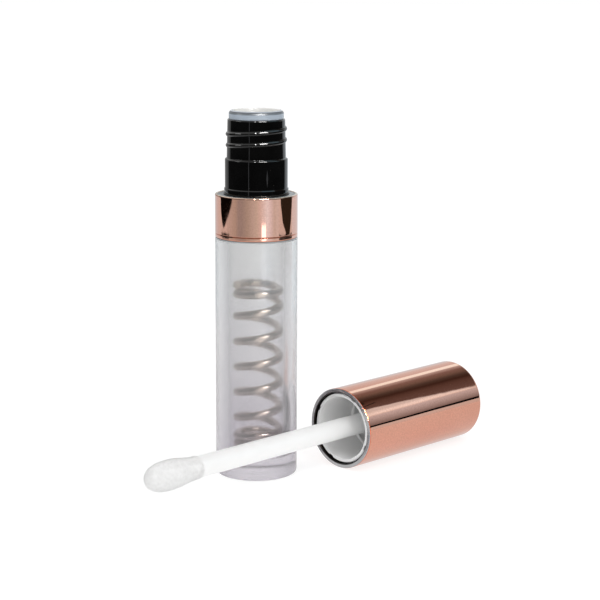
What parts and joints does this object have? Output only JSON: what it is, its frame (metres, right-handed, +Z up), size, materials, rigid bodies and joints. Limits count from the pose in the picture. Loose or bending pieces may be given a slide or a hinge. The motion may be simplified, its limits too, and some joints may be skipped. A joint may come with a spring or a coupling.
{
  "type": "lip gloss tube",
  "caption": "Open lip gloss tube: frosted round bottle with black threaded neck, rose gold collar and loose mixing spring, beside its rose gold cap with wand and flocked tip.",
  "frame": {"origin": "centre of the bottle's flat base, on the surface it stands on", "axes": "+Z up the bottle's axis; the cap lies towards +X with its wand pointing back towards -X and -Y"},
  "size_m": [0.076, 0.0733, 0.0806],
  "materials": {
    "frosted_bottle": "frosted translucent thick-wall plastic",
    "black_gloss": "high gloss black moulding",
    "soft_white": "translucent soft white plastic",
    "collar_core": "satin pale blue-grey plastic",
    "rose_gold": "mirror metallised rose gold",
    "spring_steel": "bright drawn wire",
    "white_plastic": "smooth white moulding",
    "white_foam": "fine closed-cell foam",
    "flock": "short white flock fibres"
  },
  "bodies": {
    "bottle": {"bottle_body": "frosted_bottle", "neck_gasket": "soft_white", "neck_insert": "black_gloss", "wiper": "soft_white", "collar_core": "collar_core", "collar_shell": "rose_gold"},
    "spring": {"mixing_spring": "spring_steel"},
    "cap": {"cap_overshell": "rose_gold", "cap_liner": "white_plastic", "cap_gasket": "white_foam", "wand": "white_plastic", "applicator_core": "soft_white", "applicator_flock": "flock"}
  },
  "joints": [
    {"name": "cap_twist", "type": "hinge", "parent": "bottle", "child": "cap", "pos_m": [0.01878, 0.00167, 0.00911], "axis": [-0.7222, -0.6916, 0], "continuous": true},
    {"name": "spring_slide", "type": "slide", "parent": "bottle", "child": "spring", "axis": [0, 0, 1], "range_m": [0, 0.0109]}
  ]
}
